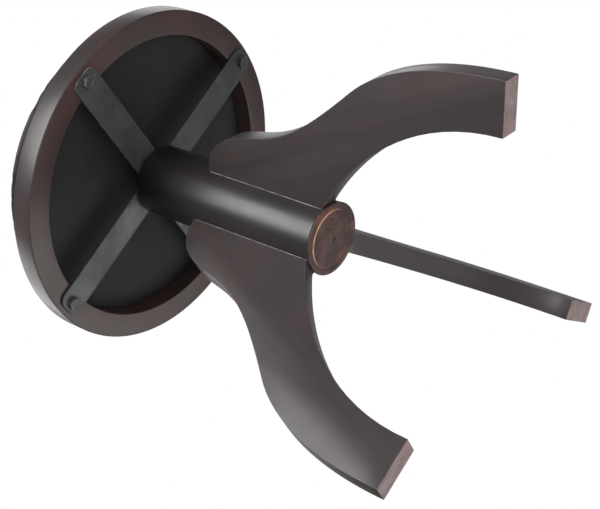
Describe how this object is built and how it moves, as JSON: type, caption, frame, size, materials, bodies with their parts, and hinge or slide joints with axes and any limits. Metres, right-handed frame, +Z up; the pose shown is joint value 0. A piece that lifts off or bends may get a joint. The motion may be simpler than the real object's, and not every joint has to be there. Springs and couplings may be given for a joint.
{
  "type": "round pedestal stool",
  "caption": "Low round pedestal stool: padded seat on a wooden ring, crossed steel straps that turn on a round post, curved plank legs.",
  "frame": {"origin": "middle of the bounding box, on the floor that the soles stand on; the post's axis is 16.9 mm towards -Y of it", "axes": "+Z up the post towards the seat; one leg points along +Y and the other two at 210 and 330 degrees from +X"},
  "size_m": [0.3978, 0.4138, 0.5135],
  "materials": {
    "dark_wood": "satin dark walnut stain",
    "end_grain": "matt reddish-brown stained end grain",
    "beech": "plain sanded",
    "plywood": "plain sanded plywood",
    "black_steel": "satin black",
    "zinc_steel": "zinc plated",
    "nylon": "natural nylon",
    "black_panel": "matt black faced board",
    "foam": "open-cell foam",
    "vinyl": "soft black vinyl"
  },
  "bodies": {
    "base": {"post": "dark_wood", "post_cap": "end_grain", "leg_back": "dark_wood", "leg_back_dowel_lower": "beech", "leg_back_dowel_upper": "beech", "leg_left": "dark_wood", "leg_left_dowel_lower": "beech", "leg_left_dowel_upper": "beech", "leg_right": "dark_wood", "leg_right_dowel_lower": "beech", "leg_right_dowel_upper": "beech", "tie_rod": "zinc_steel", "lower_washer": "zinc_steel", "lower_nut": "zinc_steel", "thrust_washer": "nylon", "pivot_bush": "nylon", "upper_washer": "zinc_steel", "lock_nut": "zinc_steel"},
    "seat": {"seat_ring": "dark_wood", "strap_straight": "black_steel", "strap_joggled": "black_steel", "seat_bolt_1": "black_steel", "seat_bolt_2": "black_steel", "seat_bolt_3": "black_steel", "seat_bolt_4": "black_steel", "tee_nut_1": "zinc_steel", "tee_nut_2": "zinc_steel", "tee_nut_3": "zinc_steel", "tee_nut_4": "zinc_steel", "seat_board": "plywood", "base_panel": "black_panel", "seat_foam": "foam", "seat_cover": "vinyl"}
  },
  "joints": [
    {"name": "seat_swivel", "type": "hinge", "parent": "base", "child": "seat", "pos_m": [0, -0.0169, 0.4427], "axis": [0, 0, 1], "continuous": true}
  ]
}
